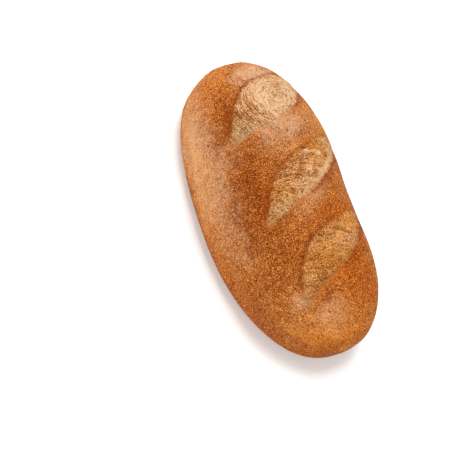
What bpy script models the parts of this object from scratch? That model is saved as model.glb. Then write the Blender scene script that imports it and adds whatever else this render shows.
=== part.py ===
"""A short whole wheat baguette: one oval loaf with a flat base, scored on top with three slanting cuts
that opened in the oven. Metres, +Z up, +X along the loaf, origin at the middle of the base.

The loaf is a stack of closed rings along X. A place on its skin has two coordinates: the station, which is
X on the plain loaf, and the girth, which is the way round from the top ridge, positive towards +Y."""

from typing import NamedTuple

import bmesh
import bpy
import numpy as np

MM = 0.001

# The whole loaf
LENGTH = 155 * MM
WIDTH = 76 * MM
HEIGHT = 50 * MM
WIDEST_HEIGHT = 0.42 * HEIGHT
QUARTER_GIRTH = 48 * MM  # from the top ridge to the widest level, at mid length

# Exponents of the rounded outlines: 2 is an ellipse, and larger ones are boxier
FAR_END_FULLNESS = 2.52  # seen from above, at -X
NEAR_END_FULLNESS = 2.36  # seen from above, at +X
CROWN_FULLNESS = 2.29  # across, above the widest level
WALL_FULLNESS = 3.0  # across, below the widest level
HEEL_FULLNESS = 3.4  # how bluntly the underside ends, along the loaf

# How the loaf differs from a true oval
# Each side swells and narrows along the loaf: shares of the half width for half a wave, one wave and so on
RIGHT_SIDE_WAVES = (0.007, 0.024, -0.027, -0.022, 0.009)  # +Y
LEFT_SIDE_WAVES = (-0.019, -0.010, 0.020, 0.004, 0.003)  # -Y
BOW = -3.1 * MM  # the middle lies this far to +Y of the ends
SLANT = 0.031  # each cross-section is turned by this slope
UNDERSIDE_REACH = 1.25  # depth of the lower half before the flat base cuts it off
BASE_EDGE_SOFTNESS = 1.5 * MM

# Unevenness, as waves of these lengths and heights: slow on the hand-shaped crust, and finer on torn dough
CRUST_WAVES = ((38 * MM, 0.4 * MM), (15 * MM, 0.15 * MM))
TORN_WAVES = ((10 * MM, 0.2 * MM), (6 * MM, 0.15 * MM))
WAVES_PER_LENGTH = 24
CRUST_SEED = 11
TORN_SEED = 5

WALL_FADE = (np.radians(92), np.radians(124))  # down the walls, all relief dies out between these angles
TIP_MARGIN = 0.03  # and over this share of the half length at each end
CALM_GIRTHS = (10 * MM, 24 * MM)  # between these the skin gets smoother towards +Y
CALMING = 0.75  # share of the relief that is lost there

# Relief beside and inside an opened cut
GROOVE_DEPTH = 1.5 * MM  # at the far edge, under the lip
GROOVE_REACH = 5.5 * MM  # how far the crust slopes down to it
SEAM_DEPTH = 0.8 * MM  # at the near edge
SEAM_REACH = 3.0 * MM
PAD_RISE = 1.7 * MM  # how much the opened dough bulges above the line between its edges
PAD_PEAK = -0.25  # where, from -1 at the near edge to 1 at the far one
PAD_ROUNDNESS = 0.8  # 1 is a cosine hump, and smaller ones are flatter on top
FULL_PAD_HALF_WIDTH = 5 * MM  # a narrower pad rises less
TIP_FADE = 0.16  # share of a cut's length over which its relief dies out at each tip
FAR_LAG = 1.06  # above 1, the far edge is widest closer to the upper tip

# A shallow dent in the crust, where the dough lay against something
DENT_PLACE = (15 * MM, -33 * MM)  # station, girth
DENT_SIZE = (15 * MM, 9 * MM)
DENT_DEPTH = 0.7 * MM

CRUST_COLOUR = (0.48, 0.19, 0.055, 1)
CRUST_ROUGHNESS = 0.6

# The mesh
RINGS = 98
CROWN_COLUMNS = 50  # round the top and both walls
BASE_COLUMNS = 8
CROWN_SPAN = np.radians(128)  # each way from the ridge
SLOPE_STEP = 0.01 * MM  # for slopes along the loaf
SLOPE_TURN = np.radians(0.01)  # and round it


class Cut(NamedTuple):
    """One opened cut: its two tips as (station, girth), and how far each edge bows from the line between."""

    lower_tip: tuple
    upper_tip: tuple
    far_bow: float
    near_bow: float
    near_lag: float  # above 1, the near edge is widest closer to the upper tip


CUTS = (
    Cut((-27.5 * MM, -22.0 * MM), (-61.0 * MM, 37.5 * MM), 18.2 * MM, 3.5 * MM, 1.1),
    Cut((17.5 * MM, -20.0 * MM), (-26.7 * MM, 41.0 * MM), 14.9 * MM, 2.0 * MM, 1.0),
    Cut((56.2 * MM, -18.8 * MM), (14.3 * MM, 34.3 * MM), 13.9 * MM, 3.3 * MM, 0.8),
)


def clear_scene():
    for old in list(bpy.data.objects):
        bpy.data.objects.remove(old, do_unlink=True)


def power(value, exponent):
    """value to the exponent, keeping its sign."""
    return np.sign(value) * np.abs(value) ** exponent


def smooth_step(low, high, value):
    """0 below low, 1 above high, and an S curve between."""
    share = np.clip((value - low) / (high - low), 0, 1)
    return share * share * (3 - 2 * share)


def superellipse(share, fullness):
    """Height of a rounded outline of half length 1 and height 1, at this share of the half length."""
    return np.clip(1 - np.abs(share) ** fullness, 0, 1) ** (1 / fullness)


def side_swell(share, sideways):
    """Width of the loaf as a share of the plain one, which differs between its two sides."""
    phase = (share + 1) * np.pi / 2
    right = sum(a * np.cos(k * phase) for k, a in enumerate(RIGHT_SIDE_WAVES, 1))
    left = sum(a * np.cos(k * phase) for k, a in enumerate(LEFT_SIDE_WAVES, 1))
    # The two sides pass into each other over the crown.
    rightness = (1 + sideways) / 2
    return 1 + rightness * right + (1 - rightness) * left


def plain_loaf(station, angle):
    """Points of the loaf without relief. The angle turns round the loaf from the top ridge towards +Y."""
    share = station / (LENGTH / 2)
    end = superellipse(share, np.where(share < 0, FAR_END_FULLNESS, NEAR_END_FULLNESS))
    heel = superellipse(share, HEEL_FULLNESS)
    sideways, upright = np.sin(angle), np.cos(angle)
    above = upright >= 0
    roundness = 2 / np.where(above, CROWN_FULLNESS, WALL_FULLNESS)
    across = WIDTH / 2 * end * side_swell(share, sideways) * power(sideways, roundness)
    crown = (HEIGHT - WIDEST_HEIGHT) * end
    wall = WIDEST_HEIGHT * UNDERSIDE_REACH * heel
    level = WIDEST_HEIGHT + np.where(above, crown, wall) * power(upright, roundness)
    # Below this level the skin turns into the base along a parabola, and under 0 it is flat.
    turn = 2 * BASE_EDGE_SOFTNESS
    bent = np.where(level < turn, level**2 / (2 * turn), level - BASE_EDGE_SOFTNESS)
    height = np.where(level < 0, 0, bent)
    x = station + SLANT * across
    y = across + BOW * (1 - share**2)
    return np.stack([x, y, height], axis=-1)


def normals(station, angle):
    """Outward unit normals of the plain loaf, from its slopes along and round it."""
    inside = LENGTH / 2 - SLOPE_STEP
    ahead = np.minimum(station + SLOPE_STEP, inside)
    behind = np.maximum(station - SLOPE_STEP, -inside)
    along = plain_loaf(ahead, angle) - plain_loaf(behind, angle)
    around = plain_loaf(station, angle + SLOPE_TURN) - plain_loaf(station, angle - SLOPE_TURN)
    outward = np.cross(along, around)
    return outward / np.linalg.norm(outward, axis=-1, keepdims=True)


def unevenness(points, wave_table, seed):
    """Heights at the points: for each length in the table, a sum of plane waves in random directions."""
    random = np.random.default_rng(seed)
    total = np.zeros(points.shape[:-1])
    for length, height in wave_table:
        directions = random.normal(size=(WAVES_PER_LENGTH, 3))
        directions /= np.linalg.norm(directions, axis=1, keepdims=True)
        phases = random.uniform(0, 2 * np.pi, WAVES_PER_LENGTH)
        waves = np.cos(points @ directions.T * (2 * np.pi / length) + phases)
        total += height * waves.sum(axis=-1) / np.sqrt(WAVES_PER_LENGTH / 2)
    return total


def along_and_across(cut, station, girth):
    """Share of the way from the cut's lower tip to its upper one, and distance beyond that line towards -X."""
    lower, upper = np.array(cut.lower_tip), np.array(cut.upper_tip)
    length = np.linalg.norm(upper - lower)
    direction = (upper - lower) / length
    away_x, away_y = station - lower[0], girth - lower[1]
    along = (away_x * direction[0] + away_y * direction[1]) / length
    across = away_y * direction[0] - away_x * direction[1]
    return along, across


def cut_relief(cut, station, girth, torn):
    """Height that one opened cut adds to the skin: a groove at the far edge, a shallower seam at the near
    edge, and between them a pad of dough that bulges and is torn."""
    along, across = along_and_across(cut, station, girth)
    inside = np.clip(along, 0, 1)
    far_edge = cut.far_bow * np.sin(np.pi * inside**FAR_LAG)
    near_edge = -cut.near_bow * np.sin(np.pi * inside**cut.near_lag)
    half = np.maximum((far_edge - near_edge) / 2, 0.1 * MM)
    place = (across - (far_edge + near_edge) / 2) / half  # -1 at the near edge, 1 at the far one
    strength = smooth_step(0, TIP_FADE, along) * smooth_step(0, TIP_FADE, 1 - along)

    groove = np.exp(-((np.maximum(across - far_edge, 0) / GROOVE_REACH) ** 2))
    seam = np.exp(-((np.maximum(near_edge - across, 0) / SEAM_REACH) ** 2))
    crust = -np.where(place > 0, GROOVE_DEPTH * groove, SEAM_DEPTH * seam)

    # The pad falls off like a cosine on each side of its peak, above a straight line between the two edges.
    off_peak = place - PAD_PEAK
    share = np.where(off_peak > 0, off_peak / (1 - PAD_PEAK), -off_peak / (1 + PAD_PEAK))
    hump = np.cos(np.pi / 2 * np.clip(share, 0, 1)) ** PAD_ROUNDNESS
    edge_line = -(SEAM_DEPTH + (GROOVE_DEPTH - SEAM_DEPTH) * (place + 1) / 2)
    bulge = np.minimum(1, half / FULL_PAD_HALF_WIDTH)
    pad = edge_line + (PAD_RISE * bulge + torn) * hump
    return strength * np.where(np.abs(place) < 1, pad, crust)


def dent(station, girth):
    away = ((station - DENT_PLACE[0]) / DENT_SIZE[0]) ** 2 + ((girth - DENT_PLACE[1]) / DENT_SIZE[1]) ** 2
    return -DENT_DEPTH * np.exp(-away)


def loaf_skin(station, angle):
    """Points of the finished loaf: the plain form, moved along its normals by all its relief."""
    girth = angle / (np.pi / 2) * QUARTER_GIRTH
    plain = plain_loaf(station, angle)
    torn = unevenness(plain, TORN_WAVES, TORN_SEED)
    relief = unevenness(plain, CRUST_WAVES, CRUST_SEED) + dent(station, girth)
    for cut in CUTS:
        relief = relief + cut_relief(cut, station, girth, torn)
    on_crown = 1 - smooth_step(*WALL_FADE, np.abs(angle))
    calm = 1 - CALMING * smooth_step(*CALM_GIRTHS, girth)
    off_tips = smooth_step(0, TIP_MARGIN, 1 - np.abs(station) / (LENGTH / 2))
    points = plain + normals(station, angle) * (relief * on_crown * calm * off_tips)[..., None]
    points[..., 2] = np.maximum(points[..., 2], 0)
    return points


def column_angles():
    """Angles of the columns of points: close together over the crown and walls, and wide under the base."""
    crown = np.linspace(-CROWN_SPAN, CROWN_SPAN, CROWN_COLUMNS)
    base = np.linspace(CROWN_SPAN, 2 * np.pi - CROWN_SPAN, BASE_COLUMNS + 2)[1:-1]
    return np.concatenate([crown, base - 2 * np.pi * (base > np.pi)])


def standing_on_origin(points):
    """The points moved so that the origin is the middle of their box from above, at the base's level."""
    low, high = points.min(axis=0), points.max(axis=0)
    return points - [(low[0] + high[0]) / 2, (low[1] + high[1]) / 2, low[2]]


def loaf_mesh():
    """A closed mesh: rings of points, which crowd towards both ends of the loaf, and one point at each tip."""
    turns = np.linspace(-1, 1, RINGS + 2)[1:-1]
    stations = LENGTH / 2 * np.sin(turns * np.pi / 2)
    angles = column_angles()
    station, angle = np.meshgrid(stations, angles, indexing="ij")
    skin = loaf_skin(station, angle).reshape(-1, 3)
    tips = plain_loaf(np.array([-LENGTH / 2, LENGTH / 2]), np.zeros(2))
    columns = len(angles)

    mesh = bmesh.new()
    verts = [mesh.verts.new(point) for point in standing_on_origin(np.concatenate([skin, tips]))]
    far_tip, near_tip = verts[-2:]
    for column in range(columns):
        beside = (column + 1) % columns
        for ring in range(RINGS - 1):
            corners = [(ring, column), (ring + 1, column), (ring + 1, beside), (ring, beside)]
            mesh.faces.new([verts[r * columns + c] for r, c in corners])
        last = (RINGS - 1) * columns
        mesh.faces.new([far_tip, verts[column], verts[beside]])
        mesh.faces.new([near_tip, verts[last + beside], verts[last + column]])
    bmesh.ops.triangulate(mesh, faces=mesh.faces, quad_method="SHORT_EDGE")
    bmesh.ops.recalc_face_normals(mesh, faces=mesh.faces)
    return mesh


def crust_material():
    material = bpy.data.materials.new("whole_wheat_crust")
    material.use_nodes = True
    shader = material.node_tree.nodes["Principled BSDF"]
    shader.inputs["Base Color"].default_value = CRUST_COLOUR
    shader.inputs["Roughness"].default_value = CRUST_ROUGHNESS
    shader.inputs["Metallic"].default_value = 0
    return material


def make_loaf():
    data = bpy.data.meshes.new("loaf")
    mesh = loaf_mesh()
    mesh.to_mesh(data)
    mesh.free()
    data.shade_smooth()
    data.materials.append(crust_material())
    loaf = bpy.data.objects.new("loaf", data)
    bpy.context.scene.collection.objects.link(loaf)
    return loaf


clear_scene()
make_loaf()
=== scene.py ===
"""The looks of a short whole wheat baguette: its crust, its torn cuts, bran, floor, light and camera.

Metres, +Z up, +X along the loaf. A place on the loaf's skin has two coordinates: the station, which is X on
the plain loaf, and the girth, which is the way round from the top ridge, positive towards +Y. The loaf's left
is -Y, its far end is at -X and its near end at +X, as the camera sees them.
"""

import logging
from collections.abc import Iterable
from dataclasses import dataclass, field, replace
from enum import Enum
from functools import cached_property

import bpy
import numpy as np
from mathutils import Matrix, Vector


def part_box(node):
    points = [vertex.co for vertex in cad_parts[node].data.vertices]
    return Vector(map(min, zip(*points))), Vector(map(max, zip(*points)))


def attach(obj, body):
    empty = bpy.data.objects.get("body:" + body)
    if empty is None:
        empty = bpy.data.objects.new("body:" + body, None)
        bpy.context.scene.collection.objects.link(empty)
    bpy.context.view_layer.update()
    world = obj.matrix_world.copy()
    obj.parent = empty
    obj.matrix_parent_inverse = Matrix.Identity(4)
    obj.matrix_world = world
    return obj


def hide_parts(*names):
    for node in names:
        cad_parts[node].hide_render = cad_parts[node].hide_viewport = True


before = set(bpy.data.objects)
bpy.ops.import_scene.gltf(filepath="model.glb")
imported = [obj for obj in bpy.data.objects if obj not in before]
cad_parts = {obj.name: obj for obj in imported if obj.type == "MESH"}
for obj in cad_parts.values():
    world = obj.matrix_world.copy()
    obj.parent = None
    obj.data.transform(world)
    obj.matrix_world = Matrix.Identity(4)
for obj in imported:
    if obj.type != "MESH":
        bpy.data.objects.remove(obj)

Array = np.ndarray
Colour = tuple[float, float, float]
Place = tuple[float, float]  # station and girth
Pair = tuple[float, float]  # two lengths, shares or limits

MM = 0.001
BODY = "root"
NODE = "loaf"
LEAST_HALF = 0.1 * MM  # least half width of a cut, so that it divides well

log = logging.getLogger("baguette")


# ---------------------------------------------------------------- numbers on arrays


def power(value: Array, exponent: Array | float) -> Array:
    """value to the exponent, keeping its sign."""
    return np.sign(value) * np.abs(value) ** exponent


def smooth_step(low: Array | float, high: Array | float, value: Array) -> Array:
    """0 below low, 1 above high, and 3s^2 - 2s^3 between, with s the share of the way."""
    share = np.clip((value - low) / (high - low), 0, 1)
    return share * share * (3 - 2 * share)


def bell(value: Array, width: Array | float) -> Array:
    """exp(-(value / width)^2): 1 at 0, falling to about a third one width away."""
    return np.exp(-((value / width) ** 2))


def unit(vectors: Array) -> Array:
    """The vectors divided by their lengths."""
    return vectors / np.linalg.norm(vectors, axis=-1, keepdims=True)


@dataclass(frozen=True)
class WaveField:
    """Smooth random heights in space, made of plane waves.

    Attributes:
        waves: (wavelength, height) pairs, in metres.
        seed: start of the random directions and phases.
        count: plane waves for each wavelength.
    """

    waves: tuple[Pair, ...]
    seed: int
    count: int = 24

    def at(self, points: Array) -> Array:
        """Heights at points.

        A wavelength adds height * sum(cos(2 pi * direction . point / wavelength + phase)) / sqrt(count / 2).

        Args:
            points: array of shape (..., 3), in metres.

        Returns:
            Array of shape (...), in metres, each wavelength having about its own height as spread.
        """
        random = np.random.default_rng(self.seed)
        total = np.zeros(points.shape[:-1])
        for length, height in self.waves:
            directions = unit(random.normal(size=(self.count, 3)))
            phases = random.uniform(0, 2 * np.pi, self.count)
            angles = points @ directions.T * (2 * np.pi / length) + phases
            total += height * np.cos(angles).sum(axis=-1) / np.sqrt(self.count / 2)
        return total


# ---------------------------------------------------------------- the loaf's form


@dataclass(frozen=True)
class Where:
    """Places on the skin, as arrays of one shape.

    Attributes:
        station, girth: way along the loaf, and way round it from the top ridge.
    """

    station: Array
    girth: Array

    def away(self, place: Place) -> tuple[Array, Array]:
        """How far along and round the loaf they lie from a place, both in millimetres."""
        return self.station / MM - place[0], self.girth / MM - place[1]


@dataclass(frozen=True)
class PlaceOnCut:
    """Where points lie with regard to one cut, as arrays of one shape.

    Attributes:
        along: share of the way from the lower tip to the upper one.
        across: distance beyond the line between the tips, towards -X.
        far_edge: across at the far edge.
        near_edge: across at the near edge.
        strength: 1 along the cut, fading to 0 at both tips.
    """

    along: Array
    across: Array
    far_edge: Array
    near_edge: Array
    strength: Array

    @property
    def half(self) -> Array:
        """Half the distance between the edges, never quite 0."""
        return np.maximum((self.far_edge - self.near_edge) / 2, LEAST_HALF)

    @property
    def share(self) -> Array:
        """-1 at the near edge, 1 at the far one."""
        return (self.across - (self.far_edge + self.near_edge) / 2) / self.half

    @property
    def past_far(self) -> Array:
        """Distance beyond the far edge, negative inside the cut."""
        return self.across - self.far_edge

    @property
    def past_near(self) -> Array:
        """Distance beyond the near edge, negative inside the cut."""
        return self.near_edge - self.across


@dataclass(frozen=True)
class Cut:
    """One opened cut: a groove at its far edge, a seam at its near edge and a pad of torn dough between.

    Attributes:
        lower_tip: (station, girth) of the tip on the left of the loaf.
        upper_tip: (station, girth) of the tip on the right.
        far_bow: how far the far edge bows out from the line between the tips.
        near_bow: how far the near edge bows out.
        near_lag: above 1, the near edge is widest closer to the upper tip.
        pull: (station, girth) of the point that the torn strands curve round.
        crisp: shares of the way along between which the near edge turns from blurred to crisp.
        rim: how dark the line along the upper half of the far edge is.
        far_shift: how far outside its far edge the torn dough's own colour and fine relief end.
        near_shift: how far outside its near edge they end.
        bank_reach: how far the browned bank beyond the far edge reaches at the lower tip.
        stringy: how much of the torn dough's pattern is strands.
        far_lag: above 1, the far edge is widest closer to the upper tip.
        tip_fade: share of the length over which the relief fades in at each tip.
    """

    lower_tip: Place
    upper_tip: Place
    far_bow: float
    near_bow: float
    near_lag: float
    pull: Place
    crisp: Pair
    rim: float = 1.0
    far_shift: float = 0.0
    near_shift: float = 0.0
    bank_reach: float = 3.2 * MM
    stringy: float = 1.0
    far_lag: float = 1.06
    tip_fade: float = 0.16

    @property
    def length(self) -> float:
        """Distance between the tips."""
        return float(np.hypot(*np.subtract(self.upper_tip, self.lower_tip)))

    def place(self, where: Where) -> PlaceOnCut:
        """Finds places with regard to this cut.

        Each edge bows out by bow * sin(pi * along^lag).

        Args:
            where: places on the skin.

        Returns:
            The same places on the cut.
        """
        lower = np.array(self.lower_tip)
        way = (np.array(self.upper_tip) - lower) / self.length
        away_x, away_y = where.station - lower[0], where.girth - lower[1]
        along = (away_x * way[0] + away_y * way[1]) / self.length
        across = away_y * way[0] - away_x * way[1]
        inside = np.clip(along, 0, 1)
        far = self.far_bow * np.sin(np.pi * inside**self.far_lag)
        near = -self.near_bow * np.sin(np.pi * inside**self.near_lag)
        strength = smooth_step(0, self.tip_fade, along) * smooth_step(0, self.tip_fade, 1 - along)
        return PlaceOnCut(along, across, far, near, strength)

    def strand_places(self, where: Where) -> Array:
        """Two coordinates for torn strands, which run on arcs round the pull point.

        Args:
            where: places on the skin.

        Returns:
            Array of shape (..., 2): distance from the pull point, and the way round it, in metres.
        """
        away_x, away_y = where.station - self.pull[0], where.girth - self.pull[1]
        radius = np.hypot(away_x, away_y)
        middle = np.subtract(np.add(self.lower_tip, self.upper_tip) / 2, self.pull)
        turn = np.arctan2(away_y, away_x) - np.arctan2(middle[1], middle[0])
        turn = (turn + np.pi) % (2 * np.pi) - np.pi
        return np.stack([radius, turn * np.hypot(*middle)], axis=-1)


@dataclass(frozen=True)
class LoafForm:
    """The loaf's form: an oval with a flat base and three opened cuts, the same as the solid's.

    Attributes:
        length, width, height: its size before the side waves, the bow and the relief.
        widest_share: height of the widest place, as a share of the whole.
        quarter_girth: way round from the ridge to the widest place.
        far_fullness, near_fullness: exponents of the outline from above, towards the two ends.
        crown_fullness, wall_fullness: exponents of the section above and below the widest place.
        heel_fullness: exponent of the base's outline.
        right_waves, left_waves: heights of the waves in the two sides, as shares of the half width.
        bow, slant: how far the middle lies out of line, and how much the sections lean along the loaf.
        underside_reach: depth of the section without the base, over the widest place's height.
        base_edge: how much of its foot the base cuts off and rounds.
        wall_fade, tip_margin: where the relief ends: angles from the ridge, and a share of the half length.
        calm_right, right_loss: girths between which it gets weaker on the right, and by how much.
        crust_waves, torn_waves: unevenness of the dough, and of the torn dough.
        groove_depth, groove_reach: depth of a cut's far edge, and how far the crust beyond it dips.
        seam_depth, seam_reach: the same for its near edge.
        pad_rise, pad_peak, pad_roundness: height, top and exponent of the hump of torn dough.
        full_pad: half width of a cut from which the hump has its full height.
        dent_place, dent_size, dent_depth: the dent on the left.
        cuts: the cuts, from the far end.
    """

    length: float = 155 * MM
    width: float = 76 * MM
    height: float = 50 * MM
    widest_share: float = 0.42
    quarter_girth: float = 48 * MM
    far_fullness: float = 2.52
    near_fullness: float = 2.36
    crown_fullness: float = 2.29
    wall_fullness: float = 3.0
    heel_fullness: float = 3.4
    right_waves: tuple[float, ...] = (0.007, 0.024, -0.027, -0.022, 0.009)
    left_waves: tuple[float, ...] = (-0.019, -0.010, 0.020, 0.004, 0.003)
    bow: float = -3.1 * MM
    slant: float = 0.031
    underside_reach: float = 1.25
    base_edge: float = 1.5 * MM
    wall_fade: Pair = (np.radians(92), np.radians(124))
    tip_margin: float = 0.03
    calm_right: Pair = (10 * MM, 24 * MM)
    right_loss: float = 0.75
    crust_waves: WaveField = WaveField(((38 * MM, 0.4 * MM), (15 * MM, 0.15 * MM)), seed=11)
    torn_waves: WaveField = WaveField(((10 * MM, 0.2 * MM), (6 * MM, 0.15 * MM)), seed=5)
    groove_depth: float = 1.5 * MM
    groove_reach: float = 5.5 * MM
    seam_depth: float = 0.8 * MM
    seam_reach: float = 3.0 * MM
    pad_rise: float = 1.7 * MM
    pad_peak: float = -0.25
    pad_roundness: float = 0.8
    full_pad: float = 5 * MM
    dent_place: Place = (15 * MM, -33 * MM)
    dent_size: Place = (15 * MM, 9 * MM)
    dent_depth: float = 0.7 * MM
    cuts: tuple[Cut, ...] = (
        Cut(
            lower_tip=(-27.5 * MM, -22.0 * MM),
            upper_tip=(-61.0 * MM, 37.5 * MM),
            far_bow=18.2 * MM,
            near_bow=3.5 * MM,
            near_lag=1.1,
            pull=(-48.5 * MM, 9.5 * MM),
            crisp=(0.35, 0.7),
            far_shift=0.7 * MM,
            near_shift=0.4 * MM,
        ),
        Cut(
            lower_tip=(17.5 * MM, -20.0 * MM),
            upper_tip=(-26.7 * MM, 41.0 * MM),
            far_bow=14.9 * MM,
            near_bow=2.0 * MM,
            near_lag=1.0,
            pull=(52.0 * MM, -18.0 * MM),
            crisp=(-0.1, 0.25),
            rim=0.6,
            far_shift=-0.3 * MM,
            near_shift=0.4 * MM,
        ),
        Cut(
            lower_tip=(56.2 * MM, -18.8 * MM),
            upper_tip=(14.3 * MM, 34.3 * MM),
            far_bow=13.9 * MM,
            near_bow=3.3 * MM,
            near_lag=0.8,
            pull=(95.0 * MM, -10.0 * MM),
            crisp=(0.15, 0.55),
            rim=0.6,
            far_shift=-0.4 * MM,
            near_shift=0.6 * MM,
            bank_reach=0.8 * MM,
            stringy=0.4,
        ),
    )

    def girth(self, angle: Array) -> Array:
        """The way round from the ridge at an angle from it, taken as even."""
        return angle / (np.pi / 2) * self.quarter_girth

    def side_swell(self, share: Array, sideways: Array) -> Array:
        """Width over the plain one: 1 plus cosines of half a wave, one wave and so on, for each side.

        Args:
            share: stations over the half length.
            sideways: -1 on the left, 1 on the right.

        Returns:
            Shares of the plain width.
        """
        phase = (share + 1) * np.pi / 2
        right = sum(size * np.cos(count * phase) for count, size in enumerate(self.right_waves, 1))
        left = sum(size * np.cos(count * phase) for count, size in enumerate(self.left_waves, 1))
        rightness = (1 + sideways) / 2
        return 1 + rightness * right + (1 - rightness) * left

    def plain(self, station: Array, angle: Array) -> Array:
        """Points of the loaf without relief.

        The outline from above is the superellipse (1 - |share|^n)^(1/n), and each section is a superellipse
        too, cut off by the base with a parabola at its edge.

        Args:
            station: stations of the points.
            angle: their angles from the top ridge, positive towards +Y.

        Returns:
            Array of shape (..., 3).
        """
        share = station / (self.length / 2)
        fullness = np.where(share < 0, self.far_fullness, self.near_fullness)
        end = np.clip(1 - np.abs(share) ** fullness, 0, 1) ** (1 / fullness)
        heel = np.clip(1 - np.abs(share) ** self.heel_fullness, 0, 1) ** (1 / self.heel_fullness)
        sideways, upright = np.sin(angle), np.cos(angle)
        above = upright >= 0
        roundness = 2 / np.where(above, self.crown_fullness, self.wall_fullness)
        across = self.width / 2 * end * self.side_swell(share, sideways) * power(sideways, roundness)
        widest = self.widest_share * self.height
        reach = np.where(above, (self.height - widest) * end, widest * self.underside_reach * heel)
        level = widest + reach * power(upright, roundness)
        turn = 2 * self.base_edge
        bent = np.where(level < turn, level**2 / (2 * turn), level - self.base_edge)
        height = np.where(level < 0, 0, bent)
        return np.stack([station + self.slant * across, across + self.bow * (1 - share**2), height], axis=-1)

    def normals(self, station: Array, angle: Array) -> Array:
        """Outward unit normals of the plain loaf: the cross product of its slopes along and round it.

        Args:
            station: stations of the points.
            angle: their angles from the top ridge.

        Returns:
            Array of shape (..., 3).
        """
        step, turn = 0.01 * MM, np.radians(0.01)
        inside = self.length / 2 - step
        ahead, behind = np.minimum(station + step, inside), np.maximum(station - step, -inside)
        along = self.plain(ahead, angle) - self.plain(behind, angle)
        around = self.plain(station, angle + turn) - self.plain(station, angle - turn)
        return unit(np.cross(along, around))

    def cut_relief(self, at: PlaceOnCut, torn: Array) -> Array:
        """Height that an opened cut adds: bells that dip to its edges, and a cosine hump between them.

        Args:
            at: places on the cut.
            torn: unevenness of the torn dough.

        Returns:
            Heights, in metres.
        """
        groove = self.groove_depth * bell(np.maximum(at.past_far, 0), self.groove_reach)
        seam = self.seam_depth * bell(np.maximum(at.past_near, 0), self.seam_reach)
        crust = -np.where(at.share > 0, groove, seam)
        off_peak = at.share - self.pad_peak
        share = np.where(off_peak > 0, off_peak / (1 - self.pad_peak), -off_peak / (1 + self.pad_peak))
        hump = np.cos(np.pi / 2 * np.clip(share, 0, 1)) ** self.pad_roundness
        edge_line = -(self.seam_depth + (self.groove_depth - self.seam_depth) * (at.share + 1) / 2)
        rise = self.pad_rise * np.minimum(1, at.half / self.full_pad)
        return at.strength * np.where(np.abs(at.share) < 1, edge_line + (rise + torn) * hump, crust)

    def relief(self, plain: Array, where: Where) -> Array:
        """All the relief of the solid, before it fades out down the walls.

        The dent is -depth * exp(-u^2 - v^2), with u and v measured in its half lengths.

        Args:
            plain: points of the plain loaf.
            where: their places on the skin.

        Returns:
            Heights, in metres.
        """
        torn = self.torn_waves.at(plain)
        along = (where.station - self.dent_place[0]) / self.dent_size[0]
        across = (where.girth - self.dent_place[1]) / self.dent_size[1]
        dent = self.dent_depth * np.exp(-along**2 - across**2)
        cuts = sum(self.cut_relief(cut.place(where), torn) for cut in self.cuts)
        return self.crust_waves.at(plain) - dent + cuts

    def fade(self, station: Array, angle: Array) -> Array:
        """Share of the relief that is left: none under the loaf and at its tips, and less on the right.

        Args:
            station: stations of the points.
            angle: their angles from the top ridge.

        Returns:
            The share at each point.
        """
        on_crown = 1 - smooth_step(*self.wall_fade, np.abs(angle))
        on_crown = on_crown * (1 - self.right_loss * smooth_step(*self.calm_right, self.girth(angle)))
        return on_crown * smooth_step(0, self.tip_margin, 1 - np.abs(station) / (self.length / 2))


# ---------------------------------------------------------------- meshes


def put_mesh(name: str, points: Array, faces: list[list[int]], values: dict[str, Array]) -> bpy.types.Object:
    """Makes a smooth-shaded object at the origin.

    Args:
        name: name of the object.
        points: array of shape (n, 3).
        faces: corner numbers of each face, turning outwards.
        values: numbers for each point, of shape (n,) or (n, 3), kept as attributes under these names.

    Returns:
        The new object.
    """
    mesh = bpy.data.meshes.new(name)
    mesh.from_pydata(points, [], faces)
    for key, value in values.items():
        kind, slot = ("FLOAT", "value") if value.ndim == 1 else ("FLOAT_VECTOR", "vector")
        layer = mesh.attributes.new(key, kind, "POINT")
        layer.data.foreach_set(slot, np.ascontiguousarray(value, dtype=np.float32).ravel())
    mesh.shade_smooth()
    mesh.update()
    piece = bpy.data.objects.new(name, mesh)
    bpy.context.scene.collection.objects.link(piece)
    return piece


def grid_faces(rings: int, columns: int) -> list[list[int]]:
    """Faces of a closed skin: rings of points in order, then the tip at its start and the tip at its end.

    Args:
        rings: number of rings.
        columns: points in a ring.

    Returns:
        Corner numbers of each face, turning outwards.
    """
    ring, column = np.meshgrid(np.arange(rings - 1), np.arange(columns), indexing="ij")
    beside = (column + 1) % columns
    here, ahead = ring * columns, (ring + 1) * columns
    quads = [here + column, ahead + column, ahead + beside, here + beside]
    round_once = np.arange(columns)
    after = (round_once + 1) % columns
    start, end, last = rings * columns, rings * columns + 1, (rings - 1) * columns
    first_cap = np.stack([np.full(columns, start), round_once, after], axis=-1)
    last_cap = np.stack([np.full(columns, end), last + after, last + round_once], axis=-1)
    body = np.stack(quads, axis=-1).reshape(-1, 4)
    return body.tolist() + first_cap.tolist() + last_cap.tolist()


@dataclass(frozen=True)
class Patch:
    """A soft oval area of the skin.

    Attributes:
        name: what shows there.
        place: (station, girth) of its middle, in millimetres.
        size: its half lengths along and across, in millimetres.
        amount: what it adds in the middle.
        turn: degrees from the station's direction to its own length.
    """

    name: str
    place: Place
    size: Place
    amount: float
    turn: float = 0.0

    def at(self, where: Where) -> Array:
        """The patch's share of the tone.

        It is amount * exp(-(u / length)^2 - (v / width)^2), with u and v measured along and across the patch.

        Args:
            where: places on the skin.

        Returns:
            What the patch adds at each of them.
        """
        away_x, away_y = where.away(self.place)
        cos, sin = np.cos(np.radians(self.turn)), np.sin(np.radians(self.turn))
        along, across = away_x * cos + away_y * sin, away_y * cos - away_x * sin
        return self.amount * bell(along, self.size[0]) * bell(across, self.size[1])


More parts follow.
